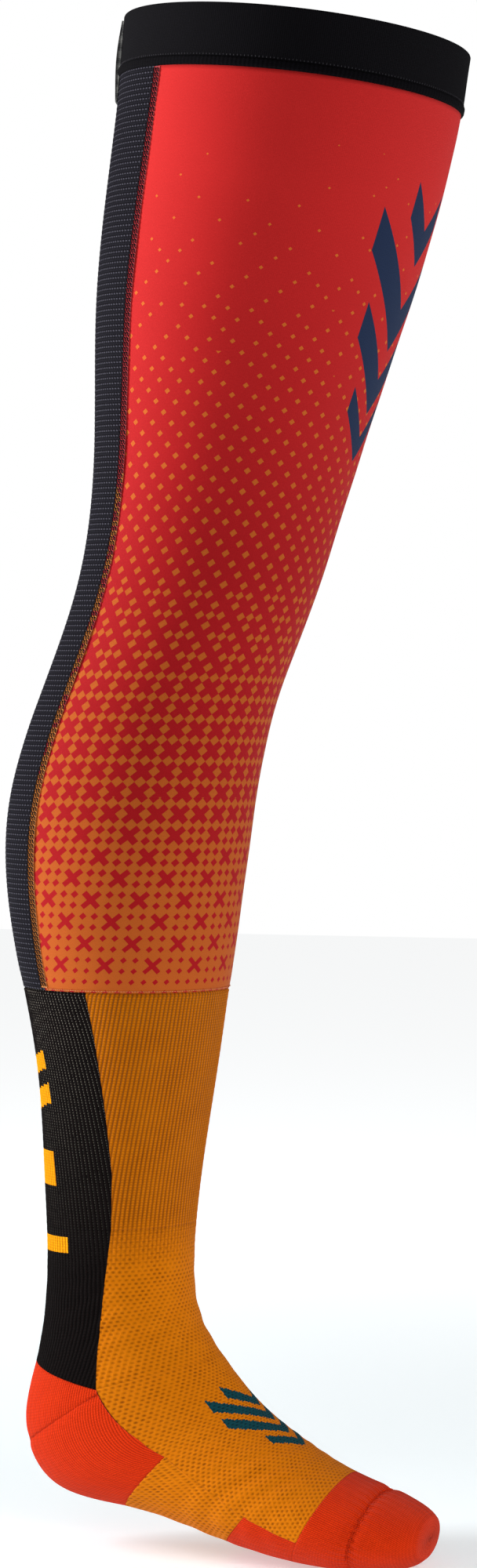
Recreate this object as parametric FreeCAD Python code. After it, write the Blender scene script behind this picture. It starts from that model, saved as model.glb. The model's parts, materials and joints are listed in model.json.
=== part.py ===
"""Over-knee motocross brace sock: a printed sleeve from thigh to calf, sewn to a knitted sock.

Frame: +Z up, +X toward the toes, +Y the wearer's left, for a right leg. The origin is the centre of
the leg opening at the top of the elastic band. All sizes are millimetres.
"""
import FreeCAD, Part
import math
import os

os.makedirs("parts", exist_ok=True)

# Fabric thicknesses, and how far each layer's outer face lies from the worn leg shape
JERSEY = 1.0
SOCK_KNIT = 1.6
BAND_ELASTIC = 1.5
BAND_LINING = 0.9
JERSEY_FACE = 0.5
SOCK_FACE = -0.2
CUFF_FACE = -0.7
GAP = 0.15

# Driving sizes of the sewn details
BAND_HEIGHT = 32.5
BINDING_HEIGHT = 4.5
GRIP_RINGS = 3
GRIP_RING_HEIGHT = 4.0
GRIP_RING_PITCH = 9.0
SEAM_WIDTH = 5.0
SEAM_ANGLE = 120.0
SEAM_END = 4.5
CUFF_DEPTH = 30.0
LOOP_WIDTH = 20.0
LOOP_LENGTH = 44.0
LOOP_THICKNESS = 1.2
LOOP_ANGLE = 198.0

# Degrees kept clear beside a panel whose edge turns a corner
CORNER_SLACK = 1.0

# The worn leg as a measurement chart: each row names a level and gives the front point (x, z),
# the back point (x, z), half the width, and how much narrower the front is than the back.
CHART = [
    ("mouth", (95, -12), (-95, 12), 96, 0.0),
    ("band_edge", (90, -45), (-98, -21), 95, 0.0),
    ("mid_thigh", (57, -161), (-113, -143), 86, 0.0),
    ("above_knee", (22, -265), (-117, -250), 69, 0.0),
    ("knee", (5, -316), (-127, -305), 64, 0.0),
    ("below_knee", (-14, -363), (-147, -359), 62, 0.0),
    ("calf", (-30, -434), (-169, -431), 65, 0.03),
    ("low_calf", (-40, -504), (-166, -500), 60, 0.04),
    ("shin", (-50, -576), (-153, -572), 49, 0.02),
    ("low_shin", (-60, -644), (-149, -644), 39, 0.0),
    ("ankle_top", (-63, -690), (-148, -695), 36, 0.0),
    ("ankle", (-56, -721), (-155, -744), 36, 0.0),
    ("heel_top", (-43, -739), (-162, -776), 37, 0.02),
    ("heel", (-28, -756), (-147, -811), 37, 0.06),
    ("heel_front", (-11, -771), (-93, -823), 39, 0.10),
    ("arch", (8, -784), (-42, -836), 42, 0.12),
    ("ball", (29, -796), (2, -845), 45, 0.12),
    ("toes", (50, -804), (37, -847), 43, 0.10),
    ("toe_end", (67, -811), (60, -845), 35, 0.05),
    ("tip", (77, -818), (73, -841), 24, 0.0),
    ("last", (81, -824), (79, -836), 14, 0.0),
]


def centre_distance(a, b):
    """Distance between the middles of two chart rows, in the plane of the leg."""
    ax = (a[1][0] + a[2][0]) / 2
    az = (a[1][1] + a[2][1]) / 2
    bx = (b[1][0] + b[2][0]) / 2
    bz = (b[1][1] + b[2][1]) / 2
    return math.hypot(bx - ax, bz - az)


def chart_levels():
    """Give every chart row its distance down the leg from the mouth."""
    distances = [0.0]
    for upper, lower in zip(CHART, CHART[1:]):
        distances.append(distances[-1] + centre_distance(upper, lower))
    return distances


def smooth_line(points):
    """A curve through one point per chart row, with the distance down the leg as its parameter."""
    curve = Part.BSplineCurve()
    curve.interpolate(Points=points, Parameters=chart_levels())
    return curve


FRONT = smooth_line([FreeCAD.Vector(row[1][0], 0, row[1][1]) for row in CHART])
BACK = smooth_line([FreeCAD.Vector(row[2][0], 0, row[2][1]) for row in CHART])
LEVEL = dict(zip([row[0] for row in CHART], chart_levels()))
SIDE = smooth_line([FreeCAD.Vector(row[3], 100 * row[4], LEVEL[row[0]]) for row in CHART])


def skin(level, angle, offset):
    """A point on the leg at a level, at an angle in degrees from the front, moved out by offset."""
    front = FRONT.value(level)
    back = BACK.value(level)
    width, narrowing, _ = SIDE.value(level)
    middle = (front + back) * 0.5
    half = (front - back) * 0.5
    depth = half.Length
    turn = math.radians(angle)
    across = (width + offset) * math.sin(turn) * (1 - narrowing / 100 * math.cos(turn))
    along = half * ((depth + offset) / depth * math.cos(turn))
    return middle + along + FreeCAD.Vector(0, across, 0)


def export(name, shape):
    shape.exportStep("parts/" + name + ".step")
    solids = len(shape.Solids)
    print(f"{name}: {solids} solid(s), {shape.Volume / 1000:.1f} cm3, valid {shape.isValid()}")


def ring_wire(level, offset, points=24):
    """One closed smooth ring round the leg."""
    ring = [skin(level, 360 * i / points, offset) for i in range(points)]
    curve = Part.BSplineCurve()
    curve.interpolate(Points=ring, PeriodicFlag=True)
    return Part.Wire([curve.toShape()])


def filled_leg(top, bottom, offset, step=22.0):
    """The closed space inside a stretch of the leg."""
    count = max(2, int(math.ceil((bottom - top) / step)) + 1)
    levels = [top + (bottom - top) * i / (count - 1) for i in range(count)]
    return Part.makeLoft([ring_wire(level, offset) for level in levels], True, False)


def tube(top, bottom, outer, thickness):
    """A band of cloth right round the leg, open at both ends."""
    overrun = 2.0
    body = filled_leg(top, bottom, outer)
    hollow = filled_leg(top - overrun, bottom + overrun, outer - thickness)
    return body.cut(hollow).Solids[0]


def surface(rows):
    """A smooth face through a grid of points."""
    face = Part.BSplineSurface()
    face.interpolate(rows)
    return face


def shell_solid(outer_rows, inner_rows):
    """Close the space between two matching point grids."""
    outer = surface(outer_rows)
    inner = surface(inner_rows)
    faces = [outer.toShape(), inner.toShape()]
    for pick in ("v0", "v1", "u0", "u1"):
        edges = [border(face, pick) for face in (outer, inner)]
        faces.append(Part.makeRuledSurface(edges[0], edges[1]))
    shell = Part.Compound(faces)
    shell.sewShape()
    solid = Part.Solid(shell.Shells[0])
    if solid.Volume < 0:
        solid.reverse()
    return solid


def border(face, pick):
    """One edge curve of a face: u0 and u1 are its first and last grid rows."""
    u0, u1, v0, v1 = face.bounds()
    if pick == "u0":
        return face.uIso(u0).toShape()
    if pick == "u1":
        return face.uIso(u1).toShape()
    if pick == "v0":
        return face.vIso(v0).toShape()
    return face.vIso(v1).toShape()


def follow(rows, v):
    """A value on a list of rows, each (edge level, half angle, middle level), from 0 at the first."""
    lengths = [abs(a[0] - b[0]) + abs(a[2] - b[2]) for a, b in zip(rows, rows[1:])]
    left = v * sum(lengths)
    for upper, lower, length in zip(rows, rows[1:], lengths):
        if left <= length or lower is rows[-1]:
            part = min(1.0, left / length)
            return [a + (b - a) * part for a, b in zip(upper, lower)]
        left -= length


def panel(rows, centre, outer, thickness, down, across):
    """A panel of cloth centred on an angle, cut by rows of (edge level, half angle, middle level)."""
    grids = ([], [])
    for i in range(down + 1):
        edge, half_angle, middle = follow(rows, i / down)
        if i == 0:
            edge += GAP
            middle += GAP
        if i == down:
            edge -= GAP
            middle -= GAP
        radius = SIDE.value(edge)[0]
        half_angle -= math.degrees(GAP / radius)
        for grid, offset in zip(grids, (outer, outer - thickness)):
            line = []
            for j in range(across + 1):
                side = 2 * j / across - 1
                level = middle + (edge - middle) * side * side
                line.append(skin(level, centre + half_angle * side, offset))
            grid.append(line)
    return shell_solid(grids[0], grids[1])


def straight(levels, half_angle):
    """Rows of a panel whose top and bottom follow the leg's own level lines."""
    return [(level, half_angle, level) for level in levels]


# Levels where one piece of cloth ends and the next begins
HEM = LEVEL["low_calf"] + 24.0
SHIN_END = LEVEL["low_shin"] + 18.0
KNEE_TOP = LEVEL["knee"] - 75.0
KNEE_BOTTOM = LEVEL["knee"] + 85.0
HEEL_CORNER = LEVEL["heel_top"] - 6
HEEL_LINE = LEVEL["ankle"] - 2
HEEL_GORE = LEVEL["heel_top"] + 12
HEEL_TOE_EDGE = LEVEL["heel_front"] - 19
HEEL_SOLE_EDGE = LEVEL["heel_front"] - 2
BALL_START = LEVEL["arch"] + 4
TOE_START = LEVEL["ball"] + 2
TOE_SEAM = LEVEL["toes"]

# Half the angle of the heel pocket and the ball patch, from the back or the sole
HEEL_TOP_HALF = 88
HEEL_MIDDLE_HALF = 98
HEEL_TOE_HALF = 99
BALL_START_HALF = 82
BALL_END_HALF = 77

def thigh_band():
    """Wide elastic band, its turned lining, the grip rings, the binding and the topstitching."""
    top = 0.0
    bottom = BAND_HEIGHT
    export("elastic_band", tube(top, bottom - BINDING_HEIGHT, 0.7, BAND_ELASTIC))
    lining_face = 0.7 - BAND_ELASTIC - 0.05
    export("band_lining", tube(top + 2.0, bottom - 1.0, lining_face, BAND_LINING))
    rings = []
    for i in range(GRIP_RINGS):
        start = top + 8.0 + i * GRIP_RING_PITCH
        face = lining_face - BAND_LINING - 0.02
        rings.append(tube(start, start + GRIP_RING_HEIGHT, face, 0.5))
    export("silicone_grip_rings", Part.makeCompound(rings))
    export("band_binding", tube(bottom - BINDING_HEIGHT + 0.1, bottom + 0.2, 1.8, 2.4))
    stitch_level = bottom - BINDING_HEIGHT - 2.0
    export("band_topstitch", tube(stitch_level, stitch_level + 1.0, 1.15, 0.4))


def pull_loop():
    """A folded woven tab sewn over the band at the back of the leg."""
    half_angle = math.degrees(LOOP_WIDTH / 2 / SIDE.value(0.0)[0])
    outer_leaf = straight([3.0, LOOP_LENGTH / 2, LOOP_LENGTH], half_angle)
    leaf = panel(outer_leaf, LOOP_ANGLE, 2.0 + LOOP_THICKNESS, LOOP_THICKNESS, 4, 6)
    export("pull_loop", leaf)


def sleeve():
    """Printed front panel, mesh rear panel, the two flatlock seams and the hem's stitching.

    Each panel is one cut of cloth. It is held as three solids, above, over and below the knee, so
    that the stretch over the knee can bend while the others stay firm on the thigh and the shin.
    """
    top = BAND_HEIGHT + 0.4
    zones = (("thigh", top, KNEE_TOP), ("knee", KNEE_TOP, KNEE_BOTTOM), ("calf", KNEE_BOTTOM, HEM))
    for zone, start, end in zones:
        front = straight([start, end], SEAM_ANGLE)
        rear = straight([start, end], 180 - SEAM_ANGLE)
        rows = int((end - start) / 18)
        export("front_panel_" + zone, panel(front, 0, JERSEY_FACE, JERSEY, rows, 28))
        export("rear_mesh_" + zone, panel(rear, 180, JERSEY_FACE, JERSEY, rows, 14))
    for name, side in (("outer_flatlock_seam", -1), ("inner_flatlock_seam", 1)):
        rows = []
        for i in range(14):
            level = top + 1.0 + (HEM - top - 1.0 - SEAM_END) * i / 13
            rows.append((level, math.degrees(SEAM_WIDTH / 2 / SIDE.value(level)[0]), level))
        seam = panel(rows, side * SEAM_ANGLE, JERSEY_FACE + 0.65, 0.6, 26, 2)
        export(name, seam)
    export("hem_stitching", tube(HEM - 3.2, HEM - 2.4, JERSEY_FACE + 0.45, 0.4))


# Where the black back stripe meets the orange front: half the stripe's angle at each level
STRIPE = [
    (HEM, 87),
    (LEVEL["shin"], 93),
    (LEVEL["low_shin"] - 14, 101),
    (SHIN_END, 101),
    (LEVEL["ankle_top"], 96),
    (LEVEL["ankle"], 90),
]


def sock_leg():
    """The cuff tucked inside the sleeve, and the ribbed leg below the hem."""
    export("sock_cuff", tube(HEM - CUFF_DEPTH, HEM - 0.3, CUFF_FACE, SOCK_KNIT))
    leg = [row for row in STRIPE if row[0] <= SHIN_END]
    back = [(level, half, level) for level, half in leg]
    front = [(level, 180 - half, level) for level, half in leg]
    export("leg_back_knit", panel(back, 180, SOCK_FACE, SOCK_KNIT, 12, 16))
    export("leg_front_knit", panel(front, 0, SOCK_FACE, SOCK_KNIT, 12, 16))


def ankle():
    """The knit that bends with the ankle: plain over the tendon, open mesh over the front."""
    back = [
        (SHIN_END, 101, SHIN_END),
        (LEVEL["ankle_top"], 96, LEVEL["ankle_top"] - 4),
        (LEVEL["ankle"], 90, LEVEL["ankle"] - 22),
        (HEEL_CORNER, HEEL_TOP_HALF, HEEL_LINE),
    ]
    export("achilles_knit", panel(back, 180, SOCK_FACE, SOCK_KNIT, 9, 16))
    front = [
        (SHIN_END, 79, SHIN_END),
        (LEVEL["ankle_top"], 84, LEVEL["ankle_top"]),
        (LEVEL["ankle"], 90, LEVEL["ankle"]),
        (HEEL_CORNER, 180 - HEEL_TOP_HALF, HEEL_CORNER),
    ]
    export("ankle_mesh_knit", panel(front, 0, SOCK_FACE, SOCK_KNIT, 9, 16))


def heel():
    """The heel pocket, knitted as two wedges that meet along a gore line."""
    upper = [
        (HEEL_CORNER + 0.5, HEEL_TOP_HALF - CORNER_SLACK, HEEL_LINE),
        (HEEL_CORNER + 1.5, HEEL_TOP_HALF - CORNER_SLACK, (HEEL_LINE + HEEL_GORE) / 2),
        (HEEL_CORNER + 2.5, HEEL_TOP_HALF - CORNER_SLACK, HEEL_GORE),
    ]
    export("heel_upper_knit", panel(upper, 180, SOCK_FACE, SOCK_KNIT, 6, 18))
    lower = [
        (HEEL_CORNER + 2.5, HEEL_TOP_HALF - CORNER_SLACK, HEEL_GORE),
        (LEVEL["heel"], HEEL_MIDDLE_HALF - CORNER_SLACK, LEVEL["heel"] + 6),
        (HEEL_TOE_EDGE, HEEL_TOE_HALF - 3 * CORNER_SLACK, HEEL_SOLE_EDGE),
    ]
    export("heel_lower_knit", panel(lower, 180, SOCK_FACE, SOCK_KNIT, 10, 18))


def foot():
    """Instep, arch, ball patch and toe."""
    instep = [
        (HEEL_CORNER, 180 - HEEL_TOP_HALF, HEEL_CORNER),
        (LEVEL["heel"], 180 - HEEL_MIDDLE_HALF, LEVEL["heel"]),
        (HEEL_TOE_EDGE, 180 - HEEL_TOE_HALF, HEEL_TOE_EDGE),
        (LEVEL["arch"], 180 - BALL_START_HALF, LEVEL["arch"]),
        (BALL_START, 180 - BALL_START_HALF, BALL_START),
        (TOE_START, 180 - BALL_END_HALF, TOE_START),
    ]
    export("instep_knit", panel(instep, 0, SOCK_FACE, SOCK_KNIT, 15, 20))
    arch = [
        (HEEL_TOE_EDGE, HEEL_TOE_HALF - 3 * CORNER_SLACK, HEEL_SOLE_EDGE),
        (LEVEL["arch"], BALL_START_HALF - CORNER_SLACK, LEVEL["arch"]),
        (BALL_START, BALL_START_HALF - CORNER_SLACK, BALL_START),
    ]
    export("arch_knit", panel(arch, 180, SOCK_FACE, SOCK_KNIT, 8, 14))
    ball = [
        (BALL_START, BALL_START_HALF - CORNER_SLACK, BALL_START),
        (TOE_START, BALL_END_HALF - CORNER_SLACK, TOE_START),
    ]
    export("ball_patch", panel(ball, 180, SOCK_FACE, SOCK_KNIT, 6, 14))
    export("toe_band", tube(TOE_START + GAP, TOE_SEAM - GAP, SOCK_FACE, SOCK_KNIT))
    outside = filled_leg(TOE_SEAM + GAP, LEVEL["last"], SOCK_FACE, 6.0)
    hollow = filled_leg(TOE_SEAM - 2.0, LEVEL["last"] - SOCK_KNIT, SOCK_FACE - SOCK_KNIT, 6.0)
    export("toe_cap", outside.cut(hollow).Solids[0])
    seam = straight([TOE_SEAM - 1.6, TOE_SEAM + 1.6], 118)
    export("toe_seam", panel(seam, 0, SOCK_FACE + 0.9, 0.8, 3, 24))


thigh_band()
pull_loop()
sleeve()
sock_leg()
ankle()
heel()
foot()
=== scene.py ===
# %% [markdown]
# # A knee brace sock
# This lesson dresses a fixed CAD frame of one over-knee motocross sock. The real thing is a printed
# compression sleeve with an elastic band on top, sewn to a knitted sock. The CAD shells give every
# size and place. Here each shell is replaced by cloth with its real ribs, seams and stitches.

# %% Load the frame
import json
import math
import bpy
import numpy as np
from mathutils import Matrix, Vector
from mathutils.bvhtree import BVHTree


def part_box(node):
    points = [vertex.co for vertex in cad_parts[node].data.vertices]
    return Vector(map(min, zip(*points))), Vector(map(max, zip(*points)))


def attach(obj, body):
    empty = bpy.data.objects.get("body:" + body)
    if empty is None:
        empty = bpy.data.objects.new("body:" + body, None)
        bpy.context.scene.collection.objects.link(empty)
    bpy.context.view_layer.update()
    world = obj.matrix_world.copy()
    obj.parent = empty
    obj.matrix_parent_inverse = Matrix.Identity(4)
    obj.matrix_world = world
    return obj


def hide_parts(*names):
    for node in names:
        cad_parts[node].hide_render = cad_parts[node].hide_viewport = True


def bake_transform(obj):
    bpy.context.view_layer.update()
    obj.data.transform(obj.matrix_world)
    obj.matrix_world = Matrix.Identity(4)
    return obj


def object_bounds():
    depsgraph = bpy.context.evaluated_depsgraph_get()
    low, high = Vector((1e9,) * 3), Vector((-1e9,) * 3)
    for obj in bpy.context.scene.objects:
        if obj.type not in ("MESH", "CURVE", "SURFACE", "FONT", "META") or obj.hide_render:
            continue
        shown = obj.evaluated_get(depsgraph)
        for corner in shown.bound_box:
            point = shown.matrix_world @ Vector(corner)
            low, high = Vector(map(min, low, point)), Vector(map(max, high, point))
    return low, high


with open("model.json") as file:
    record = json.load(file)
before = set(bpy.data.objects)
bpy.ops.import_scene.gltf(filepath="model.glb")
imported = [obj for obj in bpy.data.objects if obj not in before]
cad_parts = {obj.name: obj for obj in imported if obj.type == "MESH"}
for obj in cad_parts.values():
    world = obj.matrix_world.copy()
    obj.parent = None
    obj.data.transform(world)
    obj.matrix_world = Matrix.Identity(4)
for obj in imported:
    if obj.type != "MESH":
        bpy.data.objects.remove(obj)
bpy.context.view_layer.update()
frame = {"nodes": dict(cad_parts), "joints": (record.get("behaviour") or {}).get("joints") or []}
joints = {joint["name"]: Vector(joint["pos_m"]) for joint in frame["joints"]}

# %% [markdown]
# ## The leg that all the cloth lies on
# Every piece follows one leg shape. It could be drawn again by hand, but then it could drift from
# the CAD. So it is measured: a spine runs from the mouth through the knee and ankle joints to the
# toes, and at each millimetre of it four rays find the front, the back and both sides.

# %% Sizes and places that the leg is measured from
MM = 0.001
MOUTH_TILT = -7.2
HEM_MM = 538.3
HEM = HEM_MM * MM
TIP_LEVEL = 973 * MM
SEAM_ANGLE = 120.0
knee = joints["knee_flex"]
ankle = joints["ankle_flex"]
toe_low, toe_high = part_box("toe_cap")
tip = Vector((toe_high[0] - 1 * MM, 0, (toe_low[2] + toe_high[2]) / 2 - 2 * MM))
print("toe tip", tip)

# %% The spine: a centre and a tilt for each level
KNEE_LEVEL = 316 * MM
TILT_LEVELS = np.array([0, 33, 155, 262, 400, 600, 705, 745, 770, 800, 838, 875, 910, 938, 973]) * MM
TILTS = np.array([MOUTH_TILT, -7, -6, -4, -1, 0, 3.4, 13, 17, 25, 32, 46, 61, 74, 90])
SPINE_LEVELS = np.array([0, KNEE_LEVEL, 755 * MM, 803 * MM, 881 * MM, 938 * MM, TIP_LEVEL])
heel = ankle + Vector((14 * MM, 0, -43 * MM))
arch = ankle + Vector((90 * MM, 0, -70 * MM))
toes = ankle + Vector((145 * MM, 0, -84 * MM))
SPINE = np.array([(0, 0, 0), knee, ankle, heel, arch, toes, tip])
print("spine", SPINE.round(3).tolist())

# %% Cast rays from the spine to the CAD shells
SKIN_NODES = ["elastic_band", "front_panel_thigh", "front_panel_knee", "front_panel_calf",
              "rear_mesh_thigh", "rear_mesh_knee", "rear_mesh_calf", "leg_front_knit",
              "leg_back_knit", "achilles_knit", "ankle_mesh_knit", "heel_upper_knit",
              "heel_lower_knit", "instep_knit", "arch_knit", "ball_patch", "toe_band", "toe_cap"]


def joined_tree(names):
    """One search tree over the meshes of several CAD nodes."""
    verts, faces = [], []
    for name in names:
        mesh = frame["nodes"][name].data
        start = len(verts)
        verts.extend(v.co.copy() for v in mesh.vertices)
        faces.extend([start + i for i in p.vertices] for p in mesh.polygons)
    return BVHTree.FromPolygons(verts, faces)


tree = joined_tree(SKIN_NODES)
REACH = 140 * MM
DIAGONAL = 0.7071


def outer_hit(centre, direction):
    """The outermost point of the leg along a direction, found from outside."""
    start = centre + direction * REACH
    nudges = [Vector((0, 0, rise)) for rise in (0, 4e-4, -4e-4)]
    hits = [tree.ray_cast(start + nudge, -direction, REACH)[0] for nudge in nudges]
    spans = [(h - centre).dot(direction) for h in hits if h]
    return centre + direction * max(spans) if spans else None


def measure_ring(level):
    """Front and back points, half the width, and how much wider the back quarter is."""
    centre = Vector([np.interp(level, SPINE_LEVELS, SPINE[:, k]) for k in range(3)])
    tilt = math.radians(np.interp(level, TILT_LEVELS, TILTS))
    ahead = Vector((math.cos(tilt), 0, math.sin(tilt)))
    front, back = outer_hit(centre, ahead), outer_hit(centre, -ahead)
    if front is None or back is None:
        return None
    middle = (front + back) / 2
    side = outer_hit(middle, Vector((0, -1, 0)))
    sideways = Vector((0, -DIAGONAL, 0))
    near = outer_hit(middle, ahead * DIAGONAL + sideways)
    far = outer_hit(middle, -ahead * DIAGONAL + sideways)
    if side is None or near is None or far is None:
        return None
    narrowing = (far - middle).length - (near - middle).length
    return [front.x, front.z, back.x, back.z, -side.y, narrowing]


levels, rings = [], []
for step in range(2, 972):
    ring = measure_ring(step * MM)
    if ring:
        levels.append(step * MM)
        rings.append(ring)
levels, rings = np.array(levels), np.array(rings)
print(len(levels), "rings measured, widest half", rings[:, 4].max())

# %% Smooth the measured rings
TOE_RULE = 925 * MM


def smoothed(values, reach):
    """A running mean that keeps the slope at both ends."""
    kernel = np.hanning(2 * reach + 3)[1:-1]
    kernel /= kernel.sum()
    before = 2 * values[0] - values[reach:0:-1]
    after = 2 * values[-1] - values[-2:-reach - 2:-1]
    return np.convolve(np.concatenate([before, values, after]), kernel, "valid")


grid_levels = np.arange(0, 972) * MM
chart = []
for k in range(6):
    column = np.interp(grid_levels, levels, rings[:, k])
    slope = (rings[30, k] - rings[4, k]) / (levels[30] - levels[4])
    early = grid_levels < levels[0]
    column[early] = rings[0, k] + slope * (grid_levels[early] - levels[0])
    soft = smoothed(column, 12)
    mild = smoothed(column, 2)
    share = np.clip((grid_levels - TOE_RULE) / 0.02, 0, 1)
    chart.append(soft * (1 - share) + mild * share)
print("chart of", len(chart), "columns")

# %% Points on the skin


def skin(level, angle, lift):
    """Points at a level (m), an angle from the front (degrees) and a lift off the skin (m)."""
    fx, fz, bx, bz, width, narrow = [np.interp(level, grid_levels, column) for column in chart]
    turn = np.radians(angle)
    half_x, half_z = (fx - bx) / 2, (fz - bz) / 2
    depth = np.hypot(half_x, half_z)
    along = (depth + lift) / depth * np.cos(turn)
    across = (width + lift) * np.sin(turn) * (1 - narrow / (2 * width) * np.cos(turn))
    return np.stack([(fx + bx) / 2 + half_x * along, across, (fz + bz) / 2 + half_z * along], -1)


def girth_scale(level):
    """Metres of cloth for one degree round the leg at a level."""
    fx, fz, bx, bz, width = [np.interp(level, grid_levels, column) for column in chart[:5]]
    return math.pi / 180 * (np.hypot(fx - bx, fz - bz) / 2 + width) / 2


print("thigh girth", float(girth_scale(0.01) * 360), "ankle girth", float(girth_scale(0.7) * 360))

# %% [markdown]
# ## Colours and nodes
# Colours are written as the sRGB hex values a dyer would match, and one function turns them to
# linear. One more small function adds a node, sets its values and makes its links.

# %% Helpers for every material


def linear(hex_code):
    """An sRGB hex colour as linear RGBA."""
    channels = [int(hex_code[i:i + 2], 16) / 255 for i in (1, 3, 5)]
    bent = [c / 12.92 if c <= 0.04045 else ((c + 0.055) / 1.055) ** 2.4 for c in channels]
    return tuple(bent) + (1.0,)


def add(tree_, kind, inputs=(), **settings):
    """Add a node; inputs maps socket to a value or to another node's output."""
    node = tree_.nodes.new(kind)
    for key, value in settings.items():
        setattr(node, key, value)
    for socket, value in dict(inputs).items():
        if isinstance(value, bpy.types.NodeSocket):
            tree_.links.new(value, node.inputs[socket])
        else:
            node.inputs[socket].default_value = value
    return node


def math_node(tree_, operation, *values):
    """The result of one math operation."""
    return add(tree_, "ShaderNodeMath", dict(enumerate(values)), operation=operation).outputs[0]


def times(t, a, b):
    return math_node(t, "MULTIPLY", a, b)


def plus(t, a, b):
    return math_node(t, "ADD", a, b)


def minus(t, a, b):
    return math_node(t, "SUBTRACT", a, b)


def blend_colours(tree_, factor, first, second):
    """The first colour where the factor is 0, the second where it is 1."""
    node = add(tree_, "ShaderNodeMix", {0: factor, 6: first, 7: second}, data_type="RGBA")
    return node.outputs[2]


def new_material(name, roughness, sheen):
    """A cloth shader: rough, with the soft sheen that fibre ends give at a grazing angle."""
    material = bpy.data.materials.new(name)
    material.use_nodes = True
    shader = material.node_tree.nodes["Principled BSDF"]
    shader.inputs["Roughness"].default_value = roughness
    shader.inputs["Specular IOR Level"].default_value = 0.05
    shader.inputs["Sheen Weight"].default_value = sheen
    shader.inputs["Sheen Roughness"].default_value = 0.45
    return material, material.node_tree, shader


def cloth_place(t):
    """The cloth's own flat coordinates in millimetres: round the leg, and down the leg."""
    uv = add(t, "ShaderNodeUVMap", uv_map="cloth_mm")
    split = add(t, "ShaderNodeSeparateXYZ", {0: uv.outputs[0]})
    return split.outputs[0], split.outputs[1], uv.outputs[0]


def set_bump(t, shader, height, distance_mm, strength):
    """Fine relief that is too small to model."""
    bump = add(t, "ShaderNodeBump",
               {"Strength": strength, "Distance": distance_mm * MM, "Height": height})
    t.links.new(bump.outputs[0], shader.inputs["Normal"])


def wave(t, value, period):
    """A smooth ridge, 0 to 1, that repeats every period."""
    turn = times(t, value, 2 * math.pi / period)
    return math_node(t, "MULTIPLY_ADD", math_node(t, "COSINE", turn), 0.5, 0.5)


def noise(t, vector, scale, detail=2.0):
    """Soft random unevenness, 0 to 1."""
    return add(t, "ShaderNodeTexNoise", {"Vector": vector, "Scale": scale, "Detail": detail}).outputs[0]


# %% [markdown]
# ## Making cloth
# A panel of cloth is a grid of points over a window of the leg. Its thickness is real: an inner
# grid and closing edges make it a closed shell. The grid carries its own flat coordinates in
# millimetres, so that a printed or knitted pattern keeps its scale however the leg is shaped.

# %% One function makes every panel
DOME_RINGS = 9
DOME_STEP = 1.5


def dome(rows_of_points, bulge):
    """More rings that close the end of a tube with a rounded dome."""
    rim = rows_of_points[-1]
    centre = rim.mean(0)
    ahead = centre - rows_of_points[-4].mean(0)
    ahead /= np.linalg.norm(ahead)
    more = []
    for turn in np.linspace(0, math.pi / 2, DOME_RINGS + 1)[1:]:
        shrunk = (rim - centre) * max(math.cos(turn), 0.01)
        more.append(centre + shrunk + ahead * bulge * math.sin(turn))
    return np.concatenate([rows_of_points, more])


def shell_faces(rows, cols, closed):
    """A front grid, a back grid and the rims between them, which make a closed shell."""
    count = rows * cols
    wrap = cols if closed else cols - 1
    index = np.arange(count).reshape(rows, cols)
    i, j = np.meshgrid(np.arange(rows - 1), np.arange(wrap), indexing="ij")
    k = (j + 1) % cols
    front = np.stack([index[i, j], index[i + 1, j], index[i + 1, k], index[i, k]], -1).reshape(-1, 4)
    faces = [front, front[:, ::-1] + count]
    j = np.arange(wrap)
    k = (j + 1) % cols
    for row, flip in ((0, False), (rows - 1, True)):
        rim = np.stack([index[row, j], index[row, k], index[row, k] + count, index[row, j] + count], -1)
        faces.append(rim[:, ::-1] if flip else rim)
    if not closed:
        i = np.arange(rows - 1)
        for col, flip in ((0, True), (cols - 1, False)):
            upper, lower = index[i, col], index[i + 1, col]
            rim = np.stack([upper, lower, lower + count, upper + count], -1)
            faces.append(rim if flip else rim[:, ::-1])
    return np.concatenate(faces)


def cloth(name, level, angle, lift, thickness, material, across_mm=None, closed=False, end_bulge=None):
    """A closed sheet of cloth from 2-D arrays of level, angle and lift, rows first."""
    lift = np.broadcast_to(lift, level.shape)
    outer = skin(level, angle, lift)
    inner = skin(level, angle, np.full(level.shape, lift.min() - thickness))
    if across_mm is None:
        across_mm = angle * girth_scale(level) / MM
    if end_bulge:
        outer, inner = dome(outer, end_bulge), dome(inner, end_bulge - thickness)
        extra_rows = len(outer) - len(level)
        further = np.arange(1, extra_rows + 1)[:, None] * DOME_STEP * MM
        level = np.concatenate([level, level[-1:] + further])
        across_mm = np.concatenate([across_mm, np.repeat(across_mm[-1:], extra_rows, 0)])
    faces = shell_faces(*level.shape, closed)
    verts = np.concatenate([outer.reshape(-1, 3), inner.reshape(-1, 3)])
    flat = np.stack([across_mm, level / MM], -1).reshape(-1, 2)
    piece = mesh_object(name, verts.tolist(), faces.tolist(), material)
    uv = piece.data.uv_layers.new(name="cloth_mm")
    corners = flat[faces.ravel() % len(flat)].reshape(-1, 4, 2)
    if closed:
        full = np.abs(across_mm).max()
        jump = (corners[:, :, 0].max(1) - corners[:, :, 0].min(1)) > full / 2
        low = corners[:, :, 0] < full / 4
        extra = (360 * girth_scale(level) / MM).mean()
        corners[:, :, 0] += (jump[:, None] & low) * extra
    uv.data.foreach_set("uv", corners.reshape(-1).astype(np.float32))
    return piece


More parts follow.
